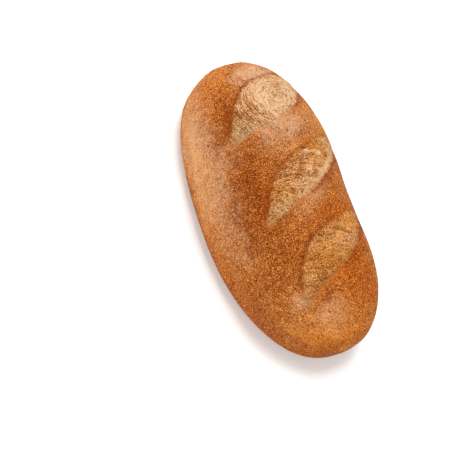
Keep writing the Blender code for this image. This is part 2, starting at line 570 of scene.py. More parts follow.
@dataclass(frozen=True)
class ToneMap:
    """A tone over the whole skin: an even ground with patches on it.

    Attributes:
        ground: the tone where there are no patches.
        patches: the patches.
    """

    ground: float
    patches: tuple[Patch, ...]

    def at(self, where: Where) -> Array:
        """The ground plus all the patches."""
        return self.ground + sum(patch.at(where) for patch in self.patches)


def tone_map(ground: float, *rows: tuple) -> ToneMap:
    """A tone map from its ground and, for each patch, its name, place, size, amount and, if not 0, turn."""
    return ToneMap(ground, tuple(Patch(*row) for row in rows))


# How browned the crust is, from -0.3 to 1.4.
BROWNING = tone_map(
    0.67,
    ("browned shoulder between the cuts", (2, -17), (36, 9), 0.31),
    ("darkest part of that shoulder", (-12, -18), (8, 6), 0.13),
    ("dark bank beside the first cut", (-46, -18), (12, 5), 0.3, -15),
    ("bank above the dimple", (13, -28.5), (13, 4), 0.25),
    ("bank before the last cut", (35, -28), (13, 8), 0.12),
    ("pale left wall", (-32, -46), (38, 8.5), -0.46),
    ("left shoulder", (-29, -29), (13, 6), 0.3),
    ("left shoulder, middle part", (-4, -32), (10, 6), 0.06),
    ("paler spot of the shoulder", (-16.5, -26.5), (5, 5), -0.25),
    ("left of the second cut", (-2, -23), (6, 5), 0.1),
    ("above the last cut", (21, 10), (5, 5), 0.12),
    ("band between the first cuts", (-24, -7), (8, 6), 0.1),
    ("before the last cut", (29, -17), (8, 6), 0.12),
    ("dimple", (14, -32), (11, 6), 0.15),
    ("left side before the near end", (44, -40), (12, 12), 0.08),
    ("between the last two cuts", (16, 2), (8, 8), 0.06),
    ("foot of the near end", (82, -28), (9, 34), 0.28),
    ("left side of the near end", (48, -33), (10, 7), -0.1),
    ("bottom of the near end", (70, -33), (8, 8), -0.23),
    ("browner foot of the left wall", (0, -60), (60, 5.5), 0.25),
    ("golden far end", (-71, -16), (8, 22), -0.2),
    ("top of the far end", (-68, 6), (6, 9), -0.12),
    ("pale near end", (70, -5), (13, 50), -0.24),
    ("palest spot of the near end", (64, -15), (8, 12), -0.12),
    ("baked spot beside the last cut", (54.5, -4), (5, 5), 0.3),
    ("orange right side behind the first band", (-33, 25), (10, 9), -0.28),
    ("stretched crust beside the first cut", (-32.5, 6), (7, 8), -0.1),
    ("stretched crust before the second cut", (-21.5, 4), (6, 2.5), -0.2, -54),
    ("right of the second cut", (2, 10), (4, 3), 0.15, -54),
    ("right side of the near end", (60, 12), (10, 8), 0.08),
    ("beside the end of the last cut", (49, -1), (7, 4), -0.14, -45),
    ("front of the near end", (73, -16), (5, 14), -0.08),
    ("beside the last cut", (30, -7), (5, 4), 0.14),
    ("edge of the near end", (74.5, -2), (4.5, 20), -0.27),
    ("beside the tip of the first cut", (-28, -4), (4.5, 4), 0.22),
    ("left foot of the near end", (58, -51), (12, 6), 0.18),
    ("left of the floury top of the far end", (-69, -3.8), (5, 5), 0.42),
    ("right end of the stretched crust", (-30.3, 8), (4.5, 5), 0.34),
    ("bank below the first cut's tip", (-31.3, -22.2), (4, 4), 0.2),
    ("browned middle of the shoulder", (-20, -17.5), (4, 4), 0.12),
    ("left wall beside the dimple", (23, -48), (5, 4), -0.1),
    ("left of the last cut", (35.5, -14.5), (4, 4), -0.1),
    ("right part of the dimple", (25.5, -35), (5, 7), -0.13),
    ("bank of the first cut, far part", (-57, -13), (4, 4), -0.1),
    ("right wall", (-5, 49), (50, 9), -0.3),
    ("browner foot of the right wall", (-5, 62), (55, 6), 0.15),
)
# How much painted sheen and reflection lies on the crust, laid on as a pale tan over the browning.
SHEEN_VEIL = tone_map(
    0.0,
    ("floury top of the far end", (-67, 9), (6, 12.5), 0.7, 12),
    ("stretched crust beside the first cut", (-34.5, 4), (6.8, 9), 0.46, 20),
    ("stretched crust before the second cut", (-22, 4), (5, 2.5), 0.08, -54),
    ("stretched crust, lower part", (-24, -2), (8, 7), 0.05),
    ("left shoulder, far part", (-45, -35), (17, 6), 0.24),
    ("left shoulder, middle part", (-13, -33), (13, 7), 0.26, -20),
    ("floury left wall", (-34, -44), (30, 8), 0.2),
    ("upper left wall", (-42, -48), (10, 6), 0.14),
    ("dimple", (12, -36), (12, 6.5), 0.12),
    ("trail from the first cut", (-25, -23.5), (7, 4), 0.19, -45),
    ("stretched crust beside the second cut", (7, 3), (9, 4), 0.26, -55),
    ("near end", (63, -7), (7, 7), 0.2),
    ("right rim of the dimple", (24.5, -30.5), (4, 4), 0.1),
    ("upper rim of the dimple", (3, -28), (4, 3), 0.1),
    ("left wall, middle part", (5, -44), (10, 4), 0.1),
    ("far edge of the second cut", (-23, 14.5), (3.5, 5), 0.18),
    ("stretched crust beside the second cut, lower part", (10, 3.5), (5, 4), 0.08),
    ("trail from the last cut", (53, -20), (6, 2.6), 0.3, -58),
)
# How pale the torn dough is, from -0.3 to 1.4.
PALENESS = tone_map(
    0.3,
    ("middle of the first pad", (-52, 1), (11, 9), 1.04),
    ("near edge of the first pad", (-43, 10), (11, 5), 0.5, -55),
    ("upper end of the first pad", (-54, 20), (9, 7), 0.55),
    ("far edge of the first pad", (-61.5, 10.5), (5.5, 6), 0.5),
    ("tip of the first pad", (-35, -14), (9, 5), 0.34, -60),
    ("near edge of the first pad, lower part", (-36.5, -3), (6, 2.5), 0.24, -61),
    ("baked spot on the first pad", (-39.5, -7), (3.2, 3.0), -0.6),
    ("near edge of the second pad", (-3, 8), (22, 3.4), 0.75, -54),
    ("upper end of the second pad", (-19, 20), (8, 8), 0.34),
    # Painted shade round the white crumbs.
    ("round the white crumbs", (-17, 9), (3.5, 3.5), -0.15),
    ("right edge of the second pad", (-10.5, 13.5), (5, 4), 0.52),
    ("tip of the second pad", (9, -12), (7, 3), 0.17, -50),
    ("baked middle of the second pad", (-8.2, 5.6), (3, 2.4), -0.4),
    ("far edge of the second pad, upper part", (-23.5, 20), (4, 5), 0.22),
    ("right part of the first pad", (-50.5, 16), (5, 4), 0.28),
    ("middle of the last pad", (31, 1), (5, 5), 0.14),
    ("lower middle of the second pad", (-4.5, -0.5), (4, 3), 0.18),
    ("left middle of the second pad", (-14.5, 4), (4, 3), 0.18),
    ("heart of the swirl", (-51, 0), (3, 3), -0.12),
    ("near edge of the second pad's tip", (10.5, -8.5), (5, 2), 0.18, -54),
    ("far edge of the second pad", (-4.5, -7), (4.5, 3), 0.12),
    ("duller near edge of the second pad", (-1.5, 7), (4, 3), -0.22, -54),
    ("middle of the second pad", (-5, 0), (9, 4), 0.1, -54),
    ("white crumb of the second pad", (-8, 9), (4, 3.5), 0.35),
    ("upper edge of the last pad", (24, 13), (14, 8), 0.6, -45),
    ("lower part of the last pad", (44, -7), (12, 5), 0.1, -45),
    ("tip of the last pad", (50, -16), (6, 4), 0.32, -45),
    ("near edge of the last pad", (39.5, 5.5), (12, 3), 0.24, -52),
    ("near edge of the last pad, upper end", (29, 18.5), (4, 3), -0.3),
    ("far edge of the last pad, lower part", (43.5, -12), (6, 2.5), 0.2, -50),
    ("far edge of the last pad, upper part", (20, 11.5), (5, 4.5), -0.35),
)
# How golden the crust and the torn dough are.
GOLD = tone_map(
    0.18,
    ("right end of the first pad", (-58, 26), (7, 9), 0.2),
    ("left strip of the second pad", (-14, 2), (14, 3), 0.3, -50),
    ("upper end of the second pad", (-24, 28), (6, 8), 0.35),
    ("second pad", (-6, 2), (20, 8), 0.25, -54),
    ("lower part of the second pad", (3, -7), (6, 5), 0.45),
    ("upper part of the second pad", (-17, 14), (7, 6), 0.75),
    ("left foot", (24, -53), (46, 7), 0.5),
    ("last pad", (33, 4), (22, 13), 0.62, -45),
    ("upper end of the last pad", (19, 20), (7, 7), 0.4),
    ("pinkish right edge of the last pad", (31, 12), (7, 4.5), -0.45, -45),
    ("lower part of the last pad", (41, -5), (9, 6), 0.2, -45),
    ("left side before the near end", (46, -42), (14, 12), 0.3),
    ("right side, near part", (52, 18), (22, 16), 0.75),
    ("edge of the near end", (78, -25), (9, 38), 1.0),
    ("browned shoulder between the cuts", (-4, -17), (30, 8), 0.35),
    ("band before the last cut", (13, 7), (8, 12), 0.45),
    ("bottom of the near end", (70, -32), (10, 9), 0.35),
    ("far end", (-60, -22), (11, 10), 0.4),
    ("left side of the far end", (-66, -34), (7, 8), 0.3),
    ("left wall", (-35, -46), (32, 9), -0.1),
)
# How greyish the torn dough is.
GREY = tone_map(
    0.0,
    ("tip of the first pad", (-33, -15), (8, 5), 0.8, -60),
    ("tip of the second pad", (10, -11), (9, 5), 0.6, -55),
    ("tip of the last pad", (51, -16), (7, 4), 0.75, -55),
    ("edge of the far end", (-78, -35), (8, 30), 0.5),
)
TONES = {"browning": BROWNING, "veil": SHEEN_VEIL, "paleness": PALENESS, "gold": GOLD, "grey": GREY}


@dataclass(frozen=True)
class Pit:
    """A small hole or, with a negative depth, a crumb that stands up.

    Attributes:
        place: (station, girth) of its middle, in millimetres.
        radius: distance at which it has faded to about a third, in millimetres.
        depth: how deep its middle lies, in millimetres.
    """

    place: Place
    radius: float
    depth: float

    def at(self, where: Where) -> Array:
        """1 in the middle, fading round it: the bell of the distance from it."""
        return bell(np.hypot(*where.away(self.place)), self.radius)


def add_pits(pits: Iterable[Pit], where: Where) -> tuple[Array, Array]:
    """Adds up pits.

    Args:
        pits: the pits.
        where: places on the skin.

    Returns:
        Heights in metres, and a mask that is 1 in a hole, -1 on a crumb and 0 elsewhere.
    """
    height, mask = np.zeros_like(where.station), np.zeros_like(where.station)
    for pit in pits:
        shape = pit.at(where)
        height -= pit.depth * MM * shape
        mask = np.where(shape > np.abs(mask), shape * np.sign(pit.depth), mask)
    return height, mask


@dataclass(frozen=True)
class Crease:
    """A thin line on the skin.

    Attributes:
        name: what it is.
        places: (station, girth) of the points that it runs through, in millimetres.
        width: half its width, in millimetres.
        height: how far it stands up, or dips where negative, in millimetres.
        pale: how pale it is.
        dark: how much painted shade darkens it.
    """

    name: str
    places: tuple[Place, ...]
    width: float
    height: float
    pale: float = 0.0
    dark: float = 0.0

    def at(self, where: Where) -> Array:
        """How much each place lies on the line: the bell of the distance to its nearest straight piece.

        Args:
            where: places on the skin.

        Returns:
            1 on the line, fading beside it.
        """
        here = np.stack([where.station, where.girth], axis=-1) / MM
        nearest = np.full(where.station.shape, np.inf)
        for start, end in zip(np.array(self.places), np.array(self.places[1:])):
            way = end - start
            share = np.clip(((here - start) @ way) / (way @ way), 0, 1)
            gap = np.linalg.norm(here - start - share[..., None] * way, axis=-1)
            nearest = np.minimum(nearest, gap)
        return bell(nearest, self.width)


def arc(middle: Place, radius: float, start: float, end: float, count: int = 12) -> tuple[Place, ...]:
    """Points on an arc, its angles in degrees.

    Args:
        middle: its middle.
        radius: its radius.
        start, end: the angles at its ends.
        count: number of points.

    Returns:
        The points.
    """
    turns = np.radians(np.linspace(start, end, count))
    stations, girths = middle[0] + radius * np.cos(turns), middle[1] + radius * np.sin(turns)
    return tuple(zip(stations.tolist(), girths.tolist()))


@dataclass(frozen=True)
class TornCut:
    """One cut as it shows on the skin: strands of torn dough, creases along its edges and shades beside them.

    A fade is the distances or shares between which something sets in. A line is its distance outside the edge
    and its half width.

    Attributes:
        cut, number: the cut, and its number, which sets its own random numbers.
        where: places on the skin.
        wander: how far random waves move the cut's edges there.
        strand_waves: unevenness across and along the strands, in strand widths and lengths.
        strand_middle: height of the ridges that counts as 0.
        strand_apart: how far apart the cuts' strands lie in the random waves.
        near_blur: what blurring adds to the near fade.
        near_share, blur_loss: strength of the near edge's relief, and how much of it blurring takes.
        last_loss: how much weaker the far edge's relief and ruddy line get in the last part.
        far_seam: distance of the ruddy line outside the far edge, and its half widths inwards and outwards.
        groove_reach: how far the far edge's shade reaches into the cut, and out of its upper part.
        tear_count, tear_seed: number of small pits, and start of their random numbers.
        least_tear, largest_tear: limits of a small pit's share of the way along, of its share of the way from
            the line between the tips to the far edge, and of its size in millimetres.
        tear_depth: depth of a small pit over its size.
    """

    cut: Cut
    number: int
    where: Where
    wander: Array
    strand_waves: WaveField = WaveField(((1.0, 1.0), (0.47, 0.5)), seed=33)
    strand_size: Pair = (2.1 * MM, 9 * MM)
    strand_height: float = 0.15 * MM
    strand_middle: float = 0.4
    strand_apart: float = 7.3
    strand_fade: Pair = (0.0, 2.0 * MM)
    far_fade: Pair = (-0.2 * MM, 0.5 * MM)
    near_fade: Pair = (-0.2 * MM, 0.6 * MM)
    near_blur: Pair = (-1.2 * MM, 1.6 * MM)
    right_fade: Pair = (20 * MM, 30 * MM)
    last_fade: Pair = (0.42, 0.62)
    last_loss: Pair = (0.4, 0.7)
    near_share: float = 0.6
    blur_loss: float = 0.85
    lip_height: float = 0.22 * MM
    crease_depth: float = 0.45 * MM
    far_lip: Pair = (2.0 * MM, 1.1 * MM)
    far_crease: float = 0.9 * MM
    near_lip: Pair = (1.3 * MM, 0.8 * MM)
    near_crease: float = 0.6 * MM
    near_seam: Pair = (0.6 * MM, 0.9 * MM)
    far_seam: tuple[float, float, float] = (0.5 * MM, 0.6 * MM, 1.0 * MM)
    far_seam_fade: Pair = (0.15, 0.5)
    near_seam_fade: Pair = (0.25, 0.5)
    groove_reach: Pair = (0.5 * MM, 1.0 * MM)
    bank_fade: Pair = (0.15, 0.45)
    rim_fade: Pair = (-0.6, 0.9)
    bank_width: float = 3.5 * MM
    tear_count: int = 12
    tear_seed: int = 60
    least_tear: tuple[float, float, float] = (0.12, 0.1, 0.4)
    largest_tear: tuple[float, float, float] = (0.85, 0.8, 0.9)
    tear_depth: float = 0.45

    @cached_property
    def at(self) -> PlaceOnCut:
        """Places on the cut as it shows, its edges moved by its own shifts and by the random waves.

        Returns:
            The places.
        """
        drawn = self.cut.place(self.where)
        return replace(
            drawn,
            across=drawn.across + self.wander,
            far_edge=drawn.far_edge + self.cut.far_shift,
            near_edge=drawn.near_edge - self.cut.near_shift,
        )

    @cached_property
    def blur(self) -> Array:
        """1 where the near edge is blurred, 0 where it is crisp."""
        return 1 - smooth_step(*self.cut.crisp, self.at.along)

    @cached_property
    def pad(self) -> Array:
        """1 on torn dough, fading at the edges and the tips, softly where the near edge is blurred.

        Returns:
            The mask.
        """
        low, high = (crisp + self.blur * blurred for crisp, blurred in zip(self.near_fade, self.near_blur))
        near = smooth_step(low, high, -self.at.past_near)
        return smooth_step(*self.far_fade, -self.at.past_far) * near * np.sqrt(self.at.strength)

    def strand_places(self, size: Pair, apart: float) -> Array:
        """Places across and along strands of this size, and a third coordinate that sets the cuts apart."""
        places = self.cut.strand_places(self.where) / size
        return np.dstack([places, np.full(self.wander.shape, apart * self.number)])

    @cached_property
    def ridges(self) -> Array:
        """1 on the ridges of the strands and lower between them: 1 - |waves|, stretched along the strands."""
        return 1 - np.abs(self.strand_waves.at(self.strand_places(self.strand_size, self.strand_apart)))

    def strand_relief(self) -> Array:
        """Heights of the strands: their ridges, rising over a short way inside the edges.

        Returns:
            Heights, in metres.
        """
        rise = smooth_step(*self.strand_fade, np.minimum(-self.at.past_far, -self.at.past_near))
        ridges = self.ridges - self.strand_middle
        return self.strand_height * self.cut.stringy * ridges * self.pad * rise

    def edge(self, past: Array, lip: Pair, crease: float) -> Array:
        """Height of a lip less the depth of a crease: bells of the distance past their edge."""
        return self.lip_height * bell(past - lip[0], lip[1]) - self.crease_depth * bell(past, crease)

    def edge_relief(self) -> Array:
        """Heights of both edges, the far one weaker in its last part and the near one where it is blurred.

        Returns:
            Heights, in metres.
        """
        far = self.edge(self.at.past_far, self.far_lip, self.far_crease)
        near = self.edge(self.at.past_near, self.near_lip, self.near_crease)
        far = far * (1 - self.last_loss[0] * smooth_step(*self.last_fade, self.at.along))
        shown = self.at.strength * (1 - smooth_step(*self.right_fade, self.where.girth))
        return shown * (far + self.near_share * near * (1 - self.blur_loss * self.blur))

    def groove(self) -> Array:
        """Shade at the far edge: a bell that reaches out further at the lower tip.

        Returns:
            The mask.
        """
        at = self.at
        inner, outer = self.groove_reach
        outer = outer + self.cut.bank_reach * (1 - smooth_step(*self.bank_fade, at.along))
        shade = bell(at.past_far, np.where(at.past_far > 0, outer, inner))
        return at.strength * shade * (1 - (1 - self.cut.rim) * smooth_step(*self.rim_fade, at.along))

    def seam(self) -> Array:
        """Ruddy lines: a lopsided bell along the far edge, and a bell along the near one's crisp part.

        Returns:
            The mask.
        """
        at = self.at
        apart, inner, outer = self.far_seam
        past = at.past_far - apart
        far = bell(past, np.where(past > 0, outer, inner)) * smooth_step(*self.far_seam_fade, at.along)
        far = far * (1 - self.last_loss[1] * smooth_step(*self.last_fade, at.along))
        near = bell(at.past_near - self.near_seam[0], self.near_seam[1])
        near = near * smooth_step(*self.near_seam_fade, at.along) * (1 - self.blur)
        return at.strength * np.maximum(self.cut.rim * far, near)

    def bank(self) -> Array:
        """Browning beside the near edge where it is crisp, fading away from it as a bell."""
        at = self.at
        return at.strength * (1 - self.blur) * (at.past_near > 0) * bell(at.past_near, self.bank_width)

    def tears(self) -> list[Pit]:
        """Small pits at seeded random places on the torn dough.

        Returns:
            The pits.
        """
        random = np.random.default_rng(self.tear_seed + self.number)
        cut, lower = self.cut, np.array(self.cut.lower_tip)
        way = (np.array(cut.upper_tip) - lower) / cut.length
        side = np.array([-way[1], way[0]])
        made = []
        for along, share, size in random.uniform(self.least_tear, self.largest_tear, (self.tear_count, 3)):
            out = cut.far_bow * np.sin(np.pi * along) * share
            station, girth = (lower + way * cut.length * along + side * out) / MM
            made.append(Pit((float(station), float(girth)), size, self.tear_depth * size))
        return made


@dataclass
class LoafCrust:
    """The whole loaf in one closed skin: the solid's form with fine relief on the crust and the torn dough.

    Attributes:
        form: the loaf's form.
        rings: rings of points along the loaf.
        fine_girths: the stretch of girths that has close columns.
        fine_step, coarse_step: girths between close columns, and between the others.
        crown_span, base_columns: angle from the ridge at which the base's columns begin, and their number.
        skin_waves: fine unevenness of the crust.
        edge_waves, tone_bends: how the edges of the torn dough and the patches of tone wander.
        foot, foot_browning: girths between which the foot of the walls gets browner, and by how much.
        pits: the larger holes and crumbs of the torn dough.
        spots, spot_size: places of dark spots that stand out, and their radius and depth, in millimetres.
        spot_darkness, tear_darkness: how dark the spots are, and how much painted shade darkens the small
            pits of the torn dough.
        torn_calm: how much lower the crust's own unevenness is on torn dough.
        creases: thin lines on the torn dough and beside it.
    """

    form: LoafForm = field(default_factory=LoafForm)
    rings: int = 450
    fine_girths: Pair = (-27 * MM, 49 * MM)
    fine_step: float = 0.52 * MM
    coarse_step: float = 1.05 * MM
    crown_span: float = np.radians(128)
    base_columns: int = 9
    skin_waves: WaveField = WaveField(
        ((4.6 * MM, 0.05 * MM), (2.3 * MM, 0.045 * MM), (1.4 * MM, 0.03 * MM)), seed=21
    )
    edge_waves: WaveField = WaveField(((6 * MM, 0.3 * MM), (2.2 * MM, 0.28 * MM)), seed=52)
    tone_bends: WaveField = WaveField(((17 * MM, 1.3 * MM), (7 * MM, 0.7 * MM)), seed=45)
    foot: Pair = (57 * MM, 66 * MM)
    foot_browning: float = 0.15
    pits: tuple[Pit, ...] = (
        Pit((-19.5, 8.0), 0.9, 0.7),
        Pit((-13.8, 18.4), 1.1, 0.9),
        Pit((-17.4, 8.3), 1.3, -0.4),
        Pit((-15.2, 13.2), 1.4, -0.4),
    )
    spots: tuple[Place, ...] = (
        *((-30.5, -38), (-16.4, -32.5), (-16.7, -30.8), (-22.9, -25.6), (2.5, -29.1), (4.4, -28.2)),
        *((5.7, -27.7), (3.1, -31.1), (53.1, -3.8), (57.9, -15.1), (67.1, -5.6), (65.1, -22)),
        *((29.3, -6.5), (29.5, -32.3), (41.5, 6.8), (43.9, 0.5), (-32.2, 0.7)),
    )
    spot_size: Pair = (0.6, 0.1)
    spot_darkness: float = 0.8
    tear_darkness: float = 0.35
    torn_calm: float = 0.5
    creases: tuple[Crease, ...] = (
        Crease(
            "pale line at the first pad's near edge",
            ((-38.9, 3.1), (-36.4, -2.8), (-31.4, -13.2), (-26.9, -20.5)),
            width=0.5,
            height=0.0,
            pale=0.2,
        ),
        Crease(
            "crack across the last pad",
            ((23.4, 6.2), (24.6, 8), (25.4, 10.4), (27, 12.2), (27.6, 14.4)),
            width=0.5,
            height=-0.5,
            dark=0.75,
        ),
        Crease(
            "shade beside the last pad",
            ((25, -2.4), (27.8, -4.7), (30.7, -6.6), (34, -8.8)),
            width=0.9,
            height=-0.2,
            dark=0.3,
        ),
        Crease("inner ring of the swirl", arc((-48.5, 9.5), 3.0, -40, 250), 0.6, -0.25, dark=0.1),
        Crease("outer ring of the swirl", arc((-49, 8.5), 6.3, 60, 320), 0.6, -0.25, dark=0.1),
    )

    def angles(self) -> Array:
        """Angles of the columns: close together over the cuts, wider down the walls, few under the base.

        Returns:
            The angles, once round the loaf.
        """
        edge = self.form.girth(self.crown_span)
        low, high = self.fine_girths
        spans = [(-edge, low, self.coarse_step), (low, high, self.fine_step), (high, edge, self.coarse_step)]
        parts = []
        for start, end, step in spans:
            parts.append(np.linspace(start, end, max(2, round((end - start) / step)), endpoint=False))
        crown = np.append(np.concatenate(parts), edge) / self.form.quarter_girth * (np.pi / 2)
        under = np.linspace(self.crown_span, 2 * np.pi - self.crown_span, self.base_columns + 2)[1:-1]
        return np.concatenate([crown, under - 2 * np.pi * (under > np.pi)])

    def marks(self, where: Where) -> tuple[Array, Array, Array]:
        """The pits, crumbs, spots and creases that have places of their own.

        Args:
            where: places on the skin.

        Returns:
            Heights in metres, how dark the marks are, which paints shade in the holes and creases and gives
            the spots their own dark colour, and how pale.
        """
        height, mask = add_pits(self.pits, where)
        spot_height, spot_mask = add_pits((Pit(place, *self.spot_size) for place in self.spots), where)
        height = height + spot_height
        dark, pale = np.maximum(mask, self.spot_darkness * spot_mask), -mask
        for crease in self.creases:
            line = crease.at(where)
            height = height + crease.height * MM * line
            dark, pale = np.maximum(dark, crease.dark * line), np.maximum(pale, crease.pale * line)
        return height, np.maximum(dark, 0), np.maximum(pale, 0)

    def fine_relief(self, plain: Array, where: Where) -> tuple[Array, dict[str, Array]]:
        """Relief that is too fine for the solid, and the masks that the finish reads.

        The crust is a random wave field, half as high on torn dough. Each cut adds its own relief and masks,
        and the marks come last.

        Args:
            plain: points of the plain loaf.
            where: their places on the skin.

        Returns:
            Heights in metres, and the masks by name.
        """
        height = self.skin_waves.at(plain)
        wander = self.edge_waves.at(plain)
        mark_height, dark, pale = self.marks(where)
        masks = dict.fromkeys(("torn", "ridge", "groove", "seam", "bank", "stringy"), np.zeros_like(height))
        masks |= {"hole": dark, "crumb": pale, "strands": np.zeros_like(plain)}
        for number, cut in enumerate(self.form.cuts):
            torn = TornCut(cut, number, where, wander)
            tear_height, tear_mask = add_pits(torn.tears(), where)
            height = height * (1 - self.torn_calm * torn.pad) + torn.strand_relief() + torn.edge_relief()
            height = height + tear_height * torn.pad
            largest = {
                "torn": torn.pad,
                "groove": torn.groove(),
                "seam": torn.seam(),
                "bank": torn.bank(),
                # Painted shade in the small pits of the torn dough.
                "hole": self.tear_darkness * tear_mask * torn.pad,
            }
            masks |= {name: np.maximum(masks[name], value) for name, value in largest.items()}
            on_pad = torn.pad > 0
            masks["ridge"] = np.where(on_pad, np.clip(torn.ridges, -0.5, 1), masks["ridge"])
            masks["stringy"] = np.where(on_pad, cut.stringy, masks["stringy"])
            masks["strands"] = np.where(on_pad[..., None], torn.strand_places((1, 1), 0.1), masks["strands"])
        return height + mark_height, masks

    def tones(self, plain: Array, where: Where) -> dict[str, Array]:
        """The tones of the skin, their patches bent by random waves so that no edge is even.

        Args:
            plain: points of the plain loaf.
            where: their places on the skin.

        Returns:
            The tones by name.
        """
        bends = [self.tone_bends.at(points) for points in (plain, plain[..., ::-1])]
        bent = Where(where.station + bends[0], where.girth + bends[1])
        tones = {name: tone.at(bent) for name, tone in TONES.items()}
        tones["browning"] += self.foot_browning * smooth_step(*self.foot, np.abs(where.girth))
        return tones

    def build(self) -> tuple[bpy.types.Object, Array, Array]:
        """Builds the skin, fitted to the solid's own box.

        Returns:
            The object, its points as rings of columns, and how torn the dough is at each of them.
        """
        form = self.form
        turns = np.linspace(-1, 1, self.rings + 2)[1:-1]
        stations = form.length / 2 * np.sin(turns * np.pi / 2)
        angles = self.angles()
        station, angle = np.meshgrid(stations, angles, indexing="ij")
        plain, where = form.plain(station, angle), Where(station, form.girth(angle))
        fine, masks = self.fine_relief(plain, where)
        masks |= self.tones(plain, where)
        height = (form.relief(plain, where) + fine) * form.fade(station, angle)
        skin = plain + form.normals(station, angle) * height[..., None]
        skin[..., 2] = np.maximum(skin[..., 2], 0)
        tips = form.plain(np.array([-form.length / 2, form.length / 2]), np.zeros(2))
        points = fitted(np.concatenate([skin.reshape(-1, 3), tips]), *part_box(NODE))
        values = {}
        for key, value in masks.items():
            flat = value.reshape(-1) if value.ndim == 2 else value.reshape(-1, 3)
            values[key] = np.concatenate([flat, np.zeros((2,) + flat.shape[1:])])
        piece = put_mesh("loaf_crust", points, grid_faces(self.rings, len(angles)), values)
        return piece, points[:-2].reshape(skin.shape), masks["torn"]


def fitted(points: Array, low: Vector, high: Vector) -> Array:
    """The points moved and scaled so that their box is the one from low to high.

    Args:
        points: array of shape (n, 3).
        low, high: opposite corners of the box.

    Returns:
        The new points.
    """
    low, high = np.array(low), np.array(high)
    least, most = points.min(axis=0), points.max(axis=0)
    return (points - least) / (most - least) * (high - low) + low


class BranKind(Enum):
    """The kinds of bran on the crust, each with the name of its piece."""

    DARK = "dark_bran"
    PALE = "pale_bran"


@dataclass(frozen=True)
class BranFlakes:
    """Small flakes of bran, half sunk into the crust.

    Attributes:
        kind: their kind.
        count: how many there are, before those that would pass the loaf's box are left out.
        reach: half widths of the smallest and the largest, in millimetres.
        rise, sunk: how far a flake's middle stands up, and how deep its underside lies, in millimetres.
        seed: start of their random places and shapes.
        sides: corners of a flake.
        lowest, torn_loss: height under which there are none, and how much rarer they are on torn dough.
        turns, aways: ranges of the corners' turns and distances.
        stretches, rises: ranges of the flakes' lengths over their widths, and of their heights over rise.
    """

    kind: BranKind
    count: int
    reach: Pair
    rise: float
    seed: int
    sides: int = 7
    sunk: float = 0.12
    lowest: float = 2 * MM
    torn_loss: float = 0.6
    turns: Pair = (-0.2, 0.2)
    aways: Pair = (0.75, 1.15)
    stretches: Pair = (1.0, 1.9)
    rises: Pair = (0.6, 1.2)

    def places(self, skin: Array, torn: Array, random: np.random.Generator) -> tuple[Array, Array]:
        """Random points on the skin, even by area but rarer on torn dough, and the skin's normals there.

        Args:
            skin: the skin's points as rings of columns.
            torn: how torn the dough is at each of them.
            random: the random numbers.

        Returns:
            Two arrays of shape (count, 3).
        """
        corner, along, around = skin[:-1], skin[1:] - skin[:-1], (np.roll(skin, -1, axis=1) - skin)[:-1]
        normal = np.cross(along, around)
        area = np.linalg.norm(normal, axis=-1)
        weight = (area * (1 - self.torn_loss * torn[:-1]) * (corner[..., 2] > self.lowest)).ravel()
        chosen = random.choice(weight.size, self.count, p=weight / weight.sum())
        shares = random.uniform(size=(2, self.count, 1))
        every = corner, along, around, normal
        corner, along, around, normal = (vectors.reshape(-1, 3)[chosen] for vectors in every)
        return corner + shares[0] * along + shares[1] * around, unit(normal)

    def domes(self, spot: Array, normal: Array, random: np.random.Generator) -> Array:
        """Points of the flakes: uneven corners round each spot, a raised middle and a sunk underside.

        A corner lies at distance * (stretch * cos(turn), sin(turn)) along the flake's length and width.

        Args:
            spot: middles of the flakes.
            normal: outward directions there.
            random: the random numbers.

        Returns:
            Array of shape (count, sides + 2, 3).
        """
        count = self.count
        length = unit(np.cross(normal, unit(random.normal(size=(count, 3)))))
        width = np.cross(normal, length)
        low, high = self.reach
        radius = (low + (high - low) * random.uniform(size=(count, 1)) ** 3) * MM
        turn = np.linspace(0, 2 * np.pi, self.sides, endpoint=False)[None]
        turn = turn + random.uniform(*self.turns, (count, self.sides))
        away = radius * random.uniform(*self.aways, (count, self.sides))
        stretch = random.uniform(*self.stretches, (count, 1))
        ring = (away * stretch * np.cos(turn))[..., None] * length[:, None]
        ring = spot[:, None] + ring + (away * np.sin(turn))[..., None] * width[:, None]
        top = spot + normal * self.rise * MM * random.uniform(*self.rises, (count, 1))
        bottom = spot - normal * self.sunk * MM
        return np.concatenate([ring, top[:, None], bottom[:, None]], axis=1)

    def faces(self, count: int) -> Array:
        """Triangles of this many flakes: from each side of the ring to the top, and turned to the bottom.

        Args:
            count: number of flakes.

        Returns:
            Array of corner numbers, of shape (n, 3).
        """
        start = np.arange(count)[:, None] * (self.sides + 2)
        here = start + np.arange(self.sides)
        after = start + (np.arange(self.sides) + 1) % self.sides
        top = np.broadcast_to(start + self.sides, here.shape)
        upper, lower = np.stack([here, after, top], axis=-1), np.stack([after, here, top + 1], axis=-1)
        return np.concatenate([upper.reshape(-1, 3), lower.reshape(-1, 3)])

    def build(self, skin: Array, torn: Array) -> bpy.types.Object:
        """Builds all the flakes that stay inside the loaf's box as one mesh of closed, flat domes.

        Args:
            skin: the skin's points as rings of columns.
            torn: how torn the dough is at each of them.

        Returns:
            The object.
        """
        random = np.random.default_rng(self.seed)
        spot, normal = self.places(skin, torn, random)
        flakes = self.domes(spot, normal, random)
        low, high = (np.array(corner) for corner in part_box(NODE))
        flakes = flakes[((flakes > low) & (flakes < high)).all(axis=(1, 2))]
        tone = np.repeat(random.uniform(size=len(flakes)), self.sides + 2)
        faces = self.faces(len(flakes)).tolist()
        return put_mesh(self.kind.value, flakes.reshape(-1, 3), faces, {"tone": tone})


# ---------------------------------------------------------------- shaders


